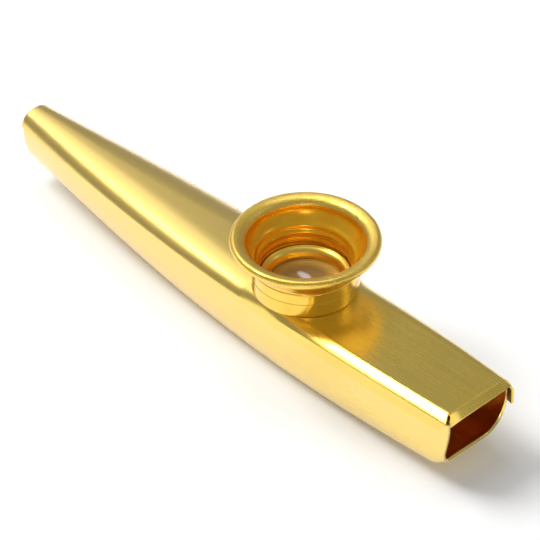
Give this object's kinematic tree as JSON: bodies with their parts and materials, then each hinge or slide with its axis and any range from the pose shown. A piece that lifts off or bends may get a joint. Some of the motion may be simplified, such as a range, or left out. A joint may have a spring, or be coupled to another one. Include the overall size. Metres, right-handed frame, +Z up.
{
  "type": "kazoo",
  "caption": "Metal kazoo with a pressed boat-shaped body in two folded shells and a screw turret whose rimmed cup and pressing ring hold a vibrating film.",
  "frame": {"origin": "middle of the bounding box's foot, on the table under the keel", "axes": "+X along the body to the wide mouth, +Y across it, +Z up along the turret's axis"},
  "size_m": [0.1208, 0.0278, 0.0274],
  "materials": {
    "shell_gold": "satin, lightly brushed",
    "turret_gold": "polished",
    "film": "thin glossy film"
  },
  "bodies": {
    "body": {"upper_shell": "shell_gold", "lower_shell": "shell_gold", "turret_collar": "turret_gold", "membrane": "film"},
    "ring": {"pressing_ring": "turret_gold"},
    "cup": {"turret_cup": "turret_gold"}
  },
  "joints": [
    {"name": "cup_rise", "type": "slide", "parent": "body", "child": "ring", "axis": [0, 0, 1], "range_m": [0, 0.003]},
    {"name": "cup_turn", "type": "hinge", "parent": "ring", "child": "cup", "pos_m": [0.01545, 0, 0.0175], "axis": [0, 0, 1], "range_deg": [0, 720]}
  ],
  "couplings": [
    {"joint": "cup_rise", "follows": "cup_turn", "m_per_rad": 0.0002387}
  ]
}
